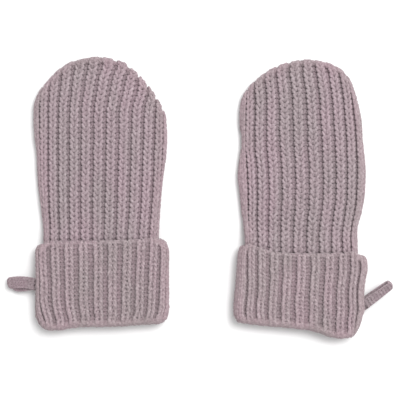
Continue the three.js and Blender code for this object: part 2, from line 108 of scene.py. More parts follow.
# The strands along the free edge: yarn and depths in mm, their inset and wave in rows
CAST_ON = {"yarn": 0.66, "crest": 1.3, "trough": 0.7, "inset": 0.3, "wave": 0.15}

# How many samples a stitch has, besides those of its yarn
FINENESS = {"cloth": 24, "edge": 8}

# Steps over which the yarn and the cloth come away from the very edge
HOLD = {"yarn": 5, "cloth": 2}

# The tape that each hanging loop is made of, in mm. The corners of its tip lie back, so that it is rounded.
TAPE = {
    "width": 6.2, "thickness": 1.2, "gap": 0.45, "buried": 2, "row": 1.7, "yarn": 0.38,
    "tip_back": 1.0, "tip_reach": 2.6,
}
TAPE_STITCH = {"waist": 0.26, "uneven": 0.03, "height": 0.85, "relief": 0.15, "fall": 0.2}
TAPE_STATIONS = 240
TAPE_CLOTH = {"round": 20, "rings": 70, "depth": 0.6}
ROOT_STITCH = {"reach": 0.42, "count": 5, "yarn": 0.3, "tall": 1.5, "deep": 0.25, "wide": 0.5}

# Painted shade: what the wool's colour is multiplied by at the rounded edges, darker and pinker where light
# falls off, and in the depths of the knitting
PAINTED_SHADE_TINTS = {"edge_shade": (0.95, 0.918, 0.918), "deep": (0.85, 0.83, 0.84)}

# The wool's noises to a metre, how much of its colour is flecks, and its plies and their turns to a mm
WOOL = {"cast": 95.0, "flecks": 900.0, "hairs": 2600.0, "heather": 0.38, "plies": 3.0, "twist": 0.42}
# Painted shade in the grooves between the plies of the yarn
PLY_GROOVE_SHADE = (0.86, 0.85, 0.86)

# Each mitten is measured in mm from the middle of its wrist fold: up along the hand, across to the right
MITTENS = [
    {
        "name": "left",
        "place": (-50.28, -64.21),
        # the shoulder where rib ends stand out, and by how much
        "petals": (1, 0.45),
        # up, across
        "left_side": [(0, -28.2), (20, -28.4), (36, -28), (45, -27.75), (57, -29.25), (72, -31), (87, -31.75),
                      (96, -33), (105, -33.5), (111, -33.25)],
        "right_side": [(0, 30.4), (20, 30.8), (36, 29.6), (45, 29.6), (57, 30.1), (72, 31.4), (87, 33.3),
                       (96, 33.6), (105, 33.2)],
        # across, up
        "crown": [(-33.25, 111), (-30.75, 117), (-25.75, 123.2), (-19.75, 129.2), (-13.75, 132.5),
                  (-1.25, 134.8), (11.5, 132.5), (16, 129.4), (21.7, 123.7), (26.3, 118), (30.1, 112),
                  (33.2, 105)],
        "ribs": {
            "count": 12, "phase": 1.2, "crowd": 0.52, "skew": -0.17,
            # up, first, last
            "lines": [(45, -32.9, 28.5), (70, -34.4, 30.3), (93, -34.7, 31.2), (108, -34.8, 31.8),
                      (118, -34.8, 35), (123, -34.3, 35.9), (127, -34.6, 38.6), (130, -36, 41.9)],
        },
        "cuff": {
            # up, across
            "left_side": [(5, -31.6), (12, -31.75), (30, -31.75), (36, -31.9), (39.4, -31), (42.2, -28.2),
                          (43, -26.5)],
            "right_side": [(9.5, 34.9), (20, 34.8), (30, 34.6), (36.5, 34.7), (41.6, 33.4), (44.6, 30.5),
                           (45.5, 28.2)],
            # across, up
            "hem": [(-32, 43.4), (-28.75, 43), (-25.5, 42.7), (-17.75, 42.6), (-5.25, 42.8), (7.75, 43.2),
                    (23.75, 44), (28.75, 45.1), (34, 45.6)],
            "fold": [(-31.6, 5), (-29, 0.1), (-24.25, -2.15), (-17.85, -1.9), (-14, -1), (-5.25, -0.4),
                     (7.65, -0.3), (20.25, 0.6), (29.25, 1.1), (33.6, 3.8), (34.9, 9.5)],
            # the course that lies on the fold, which runs on past the rounded corners
            "fold_course": [(-30, -2.2), (-24.25, -2.15), (-14, -1), (-5.25, -0.4), (7.65, -0.3),
                            (20.25, 0.6), (34, 1.5)],
            "ribs": {
                "count": 11, "phase": 0, "crowd": 0.52, "skew": 0.11,
                "lines": [(4, -26.8, 36.3), (8, -28.6, 38.4), (13, -29.5, 39.1), (23, -29.9, 39.6),
                          (38, -30.6, 40.6)],
            },
        },
        # path as across, up; the drop and the sideways spread of its lower layer; the lean at its ends
        "loop": {
            "path": [(-31.75, 21), (-38.5, 21.9), (-45.1, 21.3)],
            "drop": 2.5, "lean": (0, 0), "spread": -1.9,
        },
    },
    {
        "name": "right",
        "place": (50.97, -65.21),
        "petals": (-1, 0.35),
        "left_side": [(0, -30.4), (10, -30.5), (20, -29.7), (30, -29), (43, -28.5), (58, -30), (67, -31),
                      (76, -32), (85, -31), (94, -30), (103, -31), (109, -31)],
        "right_side": [(0, 25.4), (10, 26.9), (43, 27.6), (49, 27.8), (58, 30.1), (67, 31.6), (76, 32.1),
                       (85, 31.6), (94, 30.6), (103, 30.1), (111, 28.6)],
        "crown": [(-31, 109), (-30, 115), (-28.5, 118), (-23.5, 124), (-19, 127.4), (-15, 130), (-7.5, 133),
                  (3, 134.5), (12.5, 133), (19, 130), (21.8, 127.6), (24.4, 124.2), (26.6, 118.2),
                  (27.9, 114.7), (28.6, 111)],
        "ribs": {
            "count": 12, "phase": 0, "crowd": 0.76, "skew": 0.04,
            "lines": [(45, -29.9, 30.9), (57, -30.3, 32.9), (64, -30.3, 34.1), (79, -30.8, 34.6),
                      (94, -32.1, 34.3), (101, -31.8, 33.6), (114, -31.5, 32.4), (124, -32.1, 30.9),
                      (128, -32.4, 30.1), (131, -30.9, 28.6)],
        },
        "cuff": {
            "left_side": [(6.05, -34.3), (10.5, -34.3), (20.75, -33.4), (30.3, -32.6), (36.5, -32.1),
                          (39.7, -31.3), (42, -29.6), (42.9, -27.3)],
            "right_side": [(6.5, 30), (9.25, 30.9), (15.65, 30.7), (23.3, 31.25), (30, 32.5), (33.4, 32.3),
                           (36.6, 30.4), (37.8, 27.5)],
            "hem": [(-31.4, 43.6), (-29.3, 43.4), (-27.5, 43), (-23.6, 41.2), (-17.85, 39.3), (-12.75, 38.2),
                    (-5.1, 37.6), (6.4, 37.5), (17.9, 38), (26.8, 38.8), (33, 39)],
            "fold": [(-34.3, 6.05), (-31.85, 3.1), (-25.5, 1.9), (-16, 0.9), (-6.35, 0), (3.2, -1.1),
                     (8.3, -2.5), (12.75, -4.2), (19.15, -5.2), (24.25, -4.5), (27.6, -0.8), (29.35, 3.8),
                     (30, 6.5)],
            "fold_course": [(-34, 2.8), (-25.5, 1.9), (-16, 0.9), (-6.35, 0), (3.2, -1.1), (8.3, -2.5),
                            (12.75, -4.2), (19.15, -5.2), (25, -4.9), (31, -4.1)],
            "ribs": {
                "count": 11, "phase": 1.2, "crowd": 0.66, "skew": -0.09,
                "lines": [(5, -32.8, 29.9), (9, -33.4, 30.6), (14, -33, 30.4), (19, -32.4, 30.3),
                          (24, -32.2, 30.8), (29, -32.5, 31.6)],
            },
        },
        "loop": {
            "path": [(31, 12.3), (37.4, 17.1), (43.7, 21.8)],
            "drop": -0.6, "lean": (0.45, 0.78), "spread": 0,
        },
    },
]


# Curves through table rows


def curve(rows, column=1):
    """A smooth curve that never overshoots its rows, flat beyond both ends."""
    keys = np.array([row[0] for row in rows], float)
    values = np.array([row[column] for row in rows], float)
    rise = np.diff(values) / np.diff(keys)
    before, after = rise[:-1], rise[1:]
    bends = before * after > 0
    slopes = np.zeros(len(keys))
    slopes[0], slopes[-1] = rise[0], rise[-1]
    slopes[1:-1][bends] = 2 * before[bends] * after[bends] / (before + after)[bends]

    def at(where):
        where = np.clip(where, keys[0], keys[-1])
        i = np.clip(np.searchsorted(keys, where, side="right") - 1, 0, len(keys) - 2)
        span = keys[i + 1] - keys[i]
        t = (where - keys[i]) / span
        s = 1 - t
        ends = values[i] * s * s * (1 + 2 * t) + values[i + 1] * t * t * (3 - 2 * t)
        return ends + span * s * t * (slopes[i] * s - slopes[i + 1] * t)

    return at


def smooth(value):
    t = np.clip(value, 0, 1)
    return t * t * (3 - 2 * t)


def hold_ends(count, over):
    """From 0 at both ends of a row of points to 1 within it."""
    steps = np.arange(count)
    return smooth(np.minimum(steps, count - 1 - steps) / over)


def rib_line(ribs):
    """How far across rib line k lies: whole numbers are troughs and halves are crests."""
    first, last = curve(ribs["lines"], 1), curve(ribs["lines"], 2)
    swing = ribs["crowd"] * math.pi / 2
    end_slope = swing * math.cos(swing) / math.sin(swing)

    def across(k, up):
        even = (k + ribs["phase"]) / ribs["count"]
        turned = even + ribs["skew"] * even * (1 - even)
        inside = np.clip(turned, 0, 1)
        part = 0.5 + 0.5 * np.sin(swing * (2 * inside - 1)) / math.sin(swing) + end_slope * (turned - inside)
        low, high = first(up), last(up)
        return low + part * (high - low)

    return across


# Flattened tubes


class Outline:
    """An open or closed line in plan, with the cloth on its left as it runs."""

    def __init__(self, points):
        points = np.array(points, float)
        self.start = points[:-1]
        self.step = np.diff(points, axis=0)
        self.long = np.maximum((self.step**2).sum(1), 1e-9)

    def nearest(self, q):
        """For each place, its distance inside the line and the direction inwards."""
        distance = np.empty(len(q))
        inward = np.empty_like(q)
        for at in range(0, len(q), 4000):
            part = q[at : at + 4000]
            gap = part[:, None] - self.start[None]
            along = np.clip((gap * self.step).sum(2) / self.long, 0, 1)
            gap -= along[..., None] * self.step
            far = (gap**2).sum(2)
            best = far.argmin(1)
            picked = np.arange(len(part))
            off = gap[picked, best]
            step = self.step[best]
            side = np.sign(step[:, 0] * off[:, 1] - step[:, 1] * off[:, 0])
            side[side == 0] = 1
            length = np.sqrt(far[picked, best])
            left = np.stack([-step[:, 1], step[:, 0]], 1) / np.sqrt(self.long[best])[:, None]
            near = length < 1e-4
            away = np.where(near[:, None], left, off / np.maximum(length, 1e-9)[:, None] * side[:, None])
            distance[at : at + 4000] = length * side + OUTLINE_NAP
            inward[at : at + 4000] = away
        return distance, inward


class Tube:
    """A flattened tube of cloth, unrolled into plan. Its surface turns over the outline, front to back."""

    def __init__(self, points, edge, tall, heights, slit=None, petals=(0, 0)):
        self.outline = Outline(points)
        self.edge = edge
        self.radius = edge["radius"]
        self.arc = math.pi / 2 * math.sqrt((self.radius**2 + tall**2) / 2)
        self.overhang = self.arc - self.radius
        self.heights = heights
        self.slit = slit
        self.petals = petals

    def inside(self, q):
        """How far inside the unrolled tube's edge each place is."""
        return self.outline.nearest(q)[0] + self.overhang

    def calm(self, inside, inward):
        """How smooth the knitting is: widely where ribs run over an edge, barely where they run along."""
        near = 1 - smooth((inside - self.edge["calm_from"]) / self.edge["calm_over"])
        endwise = smooth((np.abs(inward[:, 1]) - 0.35) / 0.4)
        side, amount = self.petals
        over = near * endwise * (1 - amount * smooth(-3 * side * inward[:, 0]))
        along = SIDE_CALM["amount"] * (1 - smooth(inside / SIDE_CALM["over"])) * (1 - endwise)
        return np.maximum(over, along)

    def place(self, q, front, depth, calm_depth, hold):
        """Places in mm, outward directions, closeness to an edge and calm, for unrolled places at a depth."""
        distance, inward = self.outline.nearest(q)
        edge = (distance + self.overhang) * hold
        edge = np.where(edge < 0, PAST_EDGE * edge, edge)
        angle = np.clip(edge / self.arc, -1, 1) * math.pi / 2
        rounded = self.radius * (1 - np.cos(angle))
        settled = np.where(edge < self.arc, rounded, distance)
        plan = q + inward * (settled - distance)[:, None]
        middle, top, bottom = self.heights(plan, settled)
        rise = np.sin(angle)
        if not front:
            rise = -rise
        z = middle + np.where(rise > 0, (top - middle), (middle - bottom)) * rise
        flat = np.cos(angle) * np.where(edge < self.arc, 1, 0)
        out = np.stack([-inward[:, 0] * flat, -inward[:, 1] * flat, rise], 1)
        out /= np.linalg.norm(out, axis=1)[:, None]
        calm = self.calm(settled, inward)
        depth = depth + (calm_depth - depth) * calm
        points = np.column_stack([plan, z]) - out * depth[:, None]
        if self.slit is not None:
            dip = self.slit(plan, inward) * np.exp(-((edge / SLIT["tall"]) ** 2))
            points[:, :2] += inward * dip[:, None]
        # closeness to the edge also sets how much painted shade the rounded edge gets
        return points, out, 1 - smooth(settled / self.edge["edge_shade_reach"]), calm


def run(line, low, high, count):
    """Points along a curve given as across by up."""
    x = np.linspace(low, high, count)
    return list(zip(x, line(x)))


def side_run(line, low, high, count):
    """Points along a side, given as up by across."""
    up = np.linspace(low, high, count)
    return list(zip(line(up), up))


def hand_tube(mitten):
    left, right = curve(mitten["left_side"]), curve(mitten["right_side"])
    crown, hem = curve(mitten["crown"]), curve(mitten["cuff"]["hem"])
    (first_x, left_top), (last_x, right_top) = mitten["crown"][0], mitten["crown"][-1]
    points = side_run(right, -30, right_top, 90) + run(crown, last_x, first_x, 110)[1:]
    points += side_run(left, left_top, -30, 90)[1:]

    def heights(plan, inside):
        above = plan[:, 1] - hem(plan[:, 0])
        lift = CUFF_LIFT * (1 - smooth((above - RAMP["start"]) / RAMP["length"]))
        dome = DOME["rise"] * smooth(inside / DOME["reach"]) * smooth(above / DOME["reach"])
        return HAND_MIDDLE + lift, FRONT_BASE + PANEL_WALL + lift + dome, lift

    return Tube(points, HAND_EDGE, HAND_MIDDLE, heights, petals=mitten["petals"])


def cuff_tube(mitten):
    cuff = mitten["cuff"]
    left, right, fold = curve(cuff["left_side"]), curve(cuff["right_side"]), curve(cuff["fold"])
    left_x, left_up = cuff["fold"][0]
    right_x, right_up = cuff["fold"][-1]
    points = side_run(left, 80, left_up, 80) + run(fold, left_x, right_x, 100)[1:]
    points += side_run(right, right_up, 80, 80)[1:]

    def heights(plan, inside):
        flat = np.ones(len(plan))
        return CUFF_MIDDLE * flat, CUFF_TOP * flat, 0 * flat

    def slit(plan, inward):
        reach = smooth((plan[:, 0] - left_x - SLIT["from_corner"]) / SLIT["fade"])
        reach *= smooth((right_x - SLIT["from_corner"] - plan[:, 0]) / SLIT["fade"])
        return SLIT["deep"] * reach * smooth((inward[:, 1] - 0.3) / 0.5)

    return Tube(points, CUFF_EDGE, CUFF_MIDDLE, heights, slit)


# Knitting


class Knit:
    """Courses of 1x1 rib round a tube. Its unrolled plan has a line for each rib and a course for a row."""

    def __init__(self, tube, ribs, course, stitch, yarn, first, last, free_edge=NO_FREE_EDGE):
        self.tube = tube
        self.across = rib_line(ribs)
        self.course = course
        self.stitch = stitch
        self.yarn = yarn
        self.first, self.last = first, last
        self.free_edge = free_edge
        shape = (UNEVEN_ROWS, 2 * (last - first) + 4)
        self.uneven = {kind: rng.normal(0, spread, shape) for kind, spread in UNEVEN.items()}

    def uneven_at(self, kind, row, c):
        values = self.uneven[kind][row % UNEVEN_ROWS]
        return np.interp(c - 2 * self.first + 1, np.arange(len(values)), values)

    def to_rib(self, c):
        k = (c + 0.5) / 2
        return k - self.stitch["crowd"] * np.sin(2 * math.pi * k)

    def plan(self, c, row):
        """Unrolled places of stitch coordinates c at a course, which need not be a whole number."""
        row = np.minimum(row, self.free_edge)
        up = self.course(row, self.across(self.to_rib(c), 60.0))
        for _ in range(2):
            x = self.across(self.to_rib(c), up)
            up = self.course(row, x)
        return np.column_stack([self.across(self.to_rib(c), up), up])

    def trough_share(self, row):
        """How deep the troughs are at a course: shallow at the free edge."""
        least = FREE_EDGE_RIB["share"]
        return least + (1 - least) * smooth((self.free_edge - row) / FREE_EDGE_RIB["rows"])

    def samples(self, row, fineness):
        """Stitch coordinates along a course, from edge to edge of the tube."""
        c = np.arange(2 * self.first * fineness, 2 * self.last * fineness + 1) / fineness
        within = self.tube.inside(self.plan(c, row)) >= 0
        if within.sum() < 2 * fineness:
            return None
        ends = np.flatnonzero(np.diff(np.concatenate([[0], within.astype(int), [0]])))
        starts, stops = ends[::2], ends[1::2]
        widest = (stops - starts).argmax()
        return c[starts[widest] : stops[widest]]

    def yarn_path(self, row, front):
        """The yarn's middle line, the outward directions and its radius, across one side of the tube."""
        stitch = self.stitch
        c = self.samples(row, POINTS_TO_STITCH["front" if front else "back"])
        if c is None:
            return None
        t = 2 * math.pi * c
        moved = c + stitch["waist"] * np.sin(2 * t) - stitch["lean"] * np.sin(t)
        moved += self.uneven_at("across", row, c)
        tall = stitch["height"] * (1 + self.uneven_at("height", row, c))
        at = np.minimum(row - stitch["upward"] * tall * np.cos(t), self.free_edge)
        q = self.plan(moved, at)
        swing = np.cos(math.pi * (c - 0.5))
        side = np.sign(swing) * np.abs(swing) ** RIB_ROUNDING
        rib = stitch["rib"] * self.trough_share(at)
        depth = self.yarn + stitch["relief"] + rib - side * (rib - stitch["relief"] * np.cos(2 * t))
        depth = np.minimum(depth + self.uneven_at("depth", row, c), DEEPEST_YARN)
        calm_depth = self.yarn + CALM_YARN + stitch["calm"] * (depth - self.yarn)
        hold = hold_ends(len(c), HOLD["yarn"])
        points, out, edge_shade, calm = self.tube.place(q, front, depth, calm_depth, hold)
        thick = self.yarn * (1 + self.uneven_at("thick", row, c))
        # painted shade: the yarn darkens in the knitting's depths and at each stitch's base, less where the
        # knitting is calm
        deep = smooth((depth - self.yarn - stitch["relief"]) / DEPTH_SHADE["over"]) * stitch["depth_shading"]
        deep *= 1 - DEPTH_SHADE["calm_loss"] * calm
        base = DEPTH_SHADE["stitch"] * (0.5 + 0.5 * np.cos(2 * t))
        deep += base * (1 - DEPTH_SHADE["calm_stitch_loss"] * calm)
        return points, out, thick, edge_shade, deep

    def cloth_ring(self, row, count, inner):
        """A closed ring of the thin cloth round the tube at a course: over the front, then back below."""
        c = self.samples(row, FINENESS["cloth"])
        if c is None:
            return None
        c = np.linspace(c[0], c[-1], count)
        hold = hold_ends(count, HOLD["cloth"])
        trough = 1 - np.sin(math.pi * self.to_rib(c)) ** 2
        if inner:
            depth = calm_depth = UNDER["inner"] + 0 * c
        else:
            share = trough * self.trough_share(row)
            depth = UNDER["crest"] + (UNDER["trough"] - UNDER["crest"]) * share
            calm_depth = UNDER["edge_crest"] + (UNDER["edge_trough"] - UNDER["edge_crest"]) * trough
        q = self.plan(c, row)
        front = np.column_stack(self.tube.place(q, True, depth, calm_depth, hold))
        back = np.column_stack(self.tube.place(q, False, depth, calm_depth, hold))
        ring = np.concatenate([front, back[-2:0:-1]])
        return ring[:, [0, 1, 2, 6]]


# Meshes


class Mesh:
    """Quads gathered from many strips, with a place along and round the yarn for each corner."""

    def __init__(self):
        self.points, self.quads, self.along, self.count = [], [], [], 0
        self.painted_shade_tints = {name: [] for name in PAINTED_SHADE_TINTS}

    def add_tube(self, path, out, thick, sides, edge_shade=0.0, deep=0.0):
        """A round yarn along a path. out keeps the rings from twisting."""
        way = np.gradient(path, axis=0)
        way /= np.maximum(np.linalg.norm(way, axis=1), 1e-9)[:, None]
        across = np.cross(way, out)
        across /= np.maximum(np.linalg.norm(across, axis=1), 1e-9)[:, None]
        up = np.cross(across, way)
        turn = 2 * math.pi * np.arange(sides) / sides
        ring = np.cos(turn)[None, :, None] * up[:, None] + np.sin(turn)[None, :, None] * across[:, None]
        thick = np.broadcast_to(thick, len(path))
        # the painted shade at the rounded edges and in the depths, kept for each point
        for name, value in (("edge_shade", edge_shade), ("deep", deep)):
            self.painted_shade_tints[name].append(np.repeat(np.broadcast_to(value, len(path)), sides))
        points = path[:, None] + ring * thick[:, None, None]
        steps = np.linalg.norm(np.diff(path, axis=0), axis=1)
        travelled = np.concatenate([[0], np.cumsum(steps)]) + rng.uniform(0, 50)
        n = len(path)
        i, j = np.meshgrid(np.arange(n - 1), np.arange(sides), indexing="ij")
        i, j = i.ravel(), j.ravel()
        k = (j + 1) % sides
        self.quads.append(self.count + np.stack([i * sides + j, (i + 1) * sides + j, (i + 1) * sides + k,
                                                 i * sides + k], 1))
        low, high = travelled[i], travelled[i + 1]
        self.along.append(np.stack([low, j / sides, high, j / sides, high, (j + 1) / sides, low,
                                    (j + 1) / sides], 1))
        self.points.append(points.reshape(-1, 3))
        self.count += n * sides

    def add_grid(self, rows):
        """Quads between rows of points, closed round each row."""
        rows = np.array(rows)
        n, m = rows.shape[:2]
        # the fourth column of each row is the painted shade of the rounded edge; the cloth gets no painted
        # shade of the depths
        self.painted_shade_tints["edge_shade"].append(rows[..., 3].ravel())
        self.painted_shade_tints["deep"].append(0 * rows[..., 3].ravel())
        i, j = np.meshgrid(np.arange(n - 1), np.arange(m), indexing="ij")
        i, j = i.ravel(), j.ravel()
        k = (j + 1) % m
        self.quads.append(self.count + np.stack([i * m + j, i * m + k, (i + 1) * m + k, (i + 1) * m + j], 1))
        self.along.append(np.zeros((len(i), 8)))
        self.points.append(rows[..., :3].reshape(-1, 3))
        self.count += n * m

    def build(self, name, mitten, material, slot, weld=False):
        points = np.concatenate(self.points)
        points[:, 0] += mitten["place"][0]
        points[:, 1] += mitten["place"][1]
        quads = np.concatenate(self.quads)
        mesh = bpy.data.meshes.new(name)
        mesh.vertices.add(len(points))
        mesh.vertices.foreach_set("co", (points * MM).ravel())
        mesh.loops.add(quads.size)
        mesh.loops.foreach_set("vertex_index", quads.ravel())
        mesh.polygons.add(len(quads))
        mesh.polygons.foreach_set("loop_start", np.arange(0, quads.size, 4))
        mesh.update(calc_edges=True)
        mesh.polygons.foreach_set("use_smooth", np.ones(len(quads), bool))
        # the painted shade values become point attributes for the wool
        for tint, values in self.painted_shade_tints.items():
            held = mesh.attributes.new(tint, "FLOAT", "POINT")
            held.data.foreach_set("value", np.concatenate(values).astype(np.float32))
        layer = mesh.uv_layers.new(name="yarn")
        layer.uv.foreach_set("vector", np.concatenate(self.along).astype(np.float32).ravel())
        if weld:
            work = bmesh.new()
            work.from_mesh(mesh)
            bmesh.ops.remove_doubles(work, verts=work.verts, dist=1e-7)
            work.to_mesh(mesh)
            work.free()
        mesh.validate()
        mesh.materials.append(material)
        piece = bpy.data.objects.new(name, mesh)
        bpy.context.scene.collection.objects.link(piece)
        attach(piece, "root")
        return piece


def knit_side(knit, rows, front):
    """The yarn of all rows on one side."""
    mesh = Mesh()
    for row in rows:
        made = knit.yarn_path(row, front)
        if made is not None:
            points, out, thick, edge_shade, deep = made
            mesh.add_tube(points, out, thick, YARN_SIDES["front" if front else "back"], edge_shade, deep)
    return mesh


def under_cloth(knit, rows):
    """A thin shell just under the yarn, open at the end where it starts and closed where it stops."""
    mesh = Mesh()

    def rings_at(inner):
        found = [knit.cloth_ring(row, CLOTH_POINTS, inner) for row in rows]
        return [ring for ring in found if ring is not None]

    def capped(found):
        end = found[-1]
        middle = (end + end[(-np.arange(len(end))) % len(end)]) / 2
        return found + [middle]

    rings, inside = rings_at(False), rings_at(True)
    mesh.add_grid(capped(rings))
    mesh.add_grid([ring[::-1] for ring in capped(inside)])
    mesh.add_grid([inside[0], rings[0]])
    return mesh


def cast_on(knit, front):
    """The strands that run along the free edge and hold the loops of the first row."""
    mesh = Mesh()
    c = knit.samples(knit.free_edge, FINENESS["edge"])
    hold = hold_ends(len(c), HOLD["yarn"])
    trough = 1 - np.sin(math.pi * knit.to_rib(c)) ** 2
    q = knit.plan(c, knit.free_edge - CAST_ON["inset"] + CAST_ON["wave"] * np.sin(2 * math.pi * c))
    depth = CAST_ON["crest"] + CAST_ON["trough"] * trough + CAST_ON["wave"] * np.cos(2 * math.pi * c)
    points, out, edge_shade, _ = knit.tube.place(q, front, depth, depth, hold)
    mesh.add_tube(points, out, CAST_ON["yarn"], YARN_SIDES["back"], edge_shade)
    return mesh


# Hanging tape


def tape_line(loop):
    """Stations along the doubled tape: out over the upper layer, round the tip and back under it."""
    start, bend, end = (np.array(p, float) for p in loop["path"])
    control = 2 * bend - 0.5 * start - 0.5 * end
    half_turn = math.pi * (TAPE["gap"] + TAPE["thickness"]) / 2
    run_out = np.linalg.norm(end - start)
    whole = 2 * run_out + half_turn
    s = np.linspace(0, whole, TAPE_STATIONS)
    t = np.clip(np.where(s < whole / 2, s / run_out, (whole - s) / run_out), 0, 1)
    angle = math.pi * np.clip((s - run_out) / half_turn, 0, 1)
    line = (1 - t)[:, None] ** 2 * start + 2 * (t * (1 - t))[:, None] * control + t[:, None] ** 2 * end
    heading = (1 - t)[:, None] * (control - start) + t[:, None] * (end - control)
    heading /= np.linalg.norm(heading, axis=1)[:, None]
    flat = np.zeros(TAPE_STATIONS)
    forward = np.column_stack([heading, flat])
    level = np.column_stack([-heading[:, 1], heading[:, 0], flat])
    lean = loop["lean"][0] + (loop["lean"][1] - loop["lean"][0]) * smooth(t)
    across = level * np.cos(lean)[:, None] + np.array([0, 0, 1.0]) * np.sin(lean)[:, None]
    upward = np.cross(forward, across)
    out = upward * np.cos(angle)[:, None] + forward * np.sin(angle)[:, None]
    middle = np.column_stack([line, CUFF_MIDDLE - loop["drop"] * smooth(t)])
    middle += out * (TAPE["gap"] + TAPE["thickness"]) / 2
    lower = (1 - np.cos(angle)) / 2
    middle -= across * (loop["spread"] * lower * np.sin(math.pi * t**1.5) ** 0.6)[:, None]
    buried = np.where((s < 1e-6) | (s > whole - 1e-6), TAPE["buried"], 0)
    middle -= forward * buried[:, None]
    return s, middle, across, out, forward


class Tape:
    """A narrow flat knitted tube, by how far along it and how far round its section."""

    def __init__(self, loop):
        self.s, self.middle, self.across, self.out, self.forward = tape_line(loop)
        self.width, self.thick = TAPE["width"], TAPE["thickness"]
        self.round = 2 * (self.width - self.thick) + math.pi * self.thick

    def at(self, s, values):
        return np.column_stack([np.interp(s, self.s, values[:, i]) for i in range(3)])

    def place(self, s, u, depth):
        """Places at s along and u round, from 0 to 1, starting at the middle of the outer face."""
        flat = self.width - self.thick
        around = (u % 1.0) * self.round
        marks = np.cumsum([0, flat / 2, math.pi * self.thick / 2, flat, math.pi * self.thick / 2, flat / 2])
        r = self.thick / 2
        x = np.interp(around, marks, [0, flat / 2, flat / 2, -flat / 2, -flat / 2, 0])
        turned = np.interp(around, marks, [0, 0, math.pi, math.pi, 2 * math.pi, 2 * math.pi])
        across, out = self.at(s, self.across), self.at(s, self.out)
        away = across * np.sin(turned)[:, None] + out * np.cos(turned)[:, None]
        points = self.at(s, self.middle) + across * x[:, None] + away * (r - depth)[:, None]
        from_tip = (s - self.s[-1] / 2) / TAPE["tip_reach"]
        back = TAPE["tip_back"] * np.abs(2 * x / flat) ** 3 * np.exp(-(from_tip**2))
        return points - self.at(s, self.forward) * back[:, None], away


def tape_cloth(tape):
    """The tape's body, just under its yarn."""
    mesh = Mesh()
    count = TAPE_CLOTH["round"]
    u, depth = np.arange(count) / count, np.full(count, TAPE_CLOTH["depth"])
    stations = np.linspace(0, tape.s[-1], TAPE_CLOTH["rings"])
    rings = [tape.place(np.full(count, s), u, depth)[0] for s in stations]
    rings = [np.column_stack([ring, np.zeros(count)]) for ring in rings]
    mesh.add_grid(rings)
    for ring, turn in ((rings[0], 1), (rings[-1], -1)):
        mesh.add_grid([np.broadcast_to(ring.mean(0), ring.shape), ring][::turn])
    return mesh


def tape_knit(tape):
    """Rounds of plain stitches all along the tape."""
    mesh = Mesh()
    stitches, fineness = 8, 10
    c = np.arange(stitches * fineness + 1) / fineness
    t = 2 * math.pi * c
    for s in np.arange(0.4, tape.s[-1] - 0.2, TAPE["row"]):
        moved = c + TAPE_STITCH["waist"] * np.sin(2 * t) + rng.normal(0, TAPE_STITCH["uneven"])
        along = np.clip(s - TAPE_STITCH["height"] * TAPE["row"] * np.cos(t), 0, tape.s[-1])
        depth = TAPE["yarn"] * 0.7 + TAPE_STITCH["relief"] * (1 + np.cos(2 * t))
        depth += TAPE_STITCH["fall"] * (1 + np.cos(t))
        points, away = tape.place(along, moved / stitches, depth)
        # painted shade: each of the tape's stitches darkens towards its low end
        mesh.add_tube(points, away, TAPE["yarn"], 5, deep=0.5 + 0.5 * np.cos(t))
    return mesh


def root_stitches(loop):
    """Sewing that closes the seam over the two ends of the tape."""
    mesh = Mesh()
    start, bend = (np.array(p, float) for p in loop["path"][:2])
    heading = (bend - start) / np.linalg.norm(bend - start)
    level = np.array([-heading[1], heading[0]])
    turn = np.linspace(0, 2 * math.pi, 14)
    reach = ROOT_STITCH["reach"] * math.cos(loop["lean"][0])
    for place in np.linspace(-reach, reach, ROOT_STITCH["count"]):
        centre = start + level * place * TAPE["width"] + heading * rng.uniform(0.1, 0.5)
        z = CUFF_MIDDLE + ROOT_STITCH["tall"] * np.cos(turn)
        plan = centre + heading * (ROOT_STITCH["deep"] * np.sin(turn))[:, None]
        plan = plan + level * (ROOT_STITCH["wide"] * np.sin(turn))[:, None]
        path = np.column_stack([plan, z])
        out = path - path.mean(0)
        out /= np.linalg.norm(out, axis=1)[:, None]
        mesh.add_tube(path, out, ROOT_STITCH["yarn"], 5)
    return mesh


# Materials


class Nodes:
    """Short calls for building a material's nodes."""

    def __init__(self, name):
        self.material = bpy.data.materials.new(name)
        self.material.use_nodes = True
        self.tree = self.material.node_tree
        self.tree.nodes.clear()

    def add(self, kind, inputs=(), **settings):
        node = self.tree.nodes.new(kind)
        for key, value in settings.items():
            setattr(node, key, value)
        for key, value in dict(inputs).items():
            if isinstance(value, bpy.types.NodeSocket):
                self.tree.links.new(value, node.inputs[key])
            else:
                node.inputs[key].default_value = value
        return node

    def noise(self, where, scale, detail, roughness):
        inputs = {"Vector": where, "Scale": scale, "Detail": detail, "Roughness": roughness}
        return self.add("ShaderNodeTexNoise", inputs).outputs["Fac"]

    def maths(self, operation, *values):
        return self.add("ShaderNodeMath", dict(enumerate(values)), operation=operation).outputs[0]

    def ramp(self, value, *stops):
        """A colour ramp through (place, colour) stops."""
        node = self.add("ShaderNodeValToRGB", {"Fac": value})
        ramp = node.color_ramp
        while len(ramp.elements) < len(stops):
            ramp.elements.new(0.5)
        for element, (at, colour) in zip(ramp.elements, stops):
            element.position = at
            element.color = (*colour, 1)
        return node.outputs["Color"]

    def mix(self, factor, a, b, blend="MIX"):
        node = self.add("ShaderNodeMix", data_type="RGBA", blend_type=blend)
        for key, value in ((0, factor), (6, a), (7, b)):
            if isinstance(value, bpy.types.NodeSocket):
                self.tree.links.new(value, node.inputs[key])
            elif key == 0:
                node.inputs[key].default_value = value
            else:
                node.inputs[key].default_value = (*value, 1)
        return node.outputs[2]


def linear(red, green, blue):
    """Screen colour from 0 to 255 to linear light."""
    shown = (red, green, blue)
    return tuple(((v / 255 + 0.055) / 1.055) ** 2.4 if v > 10 else v / 255 / 12.92 for v in shown)


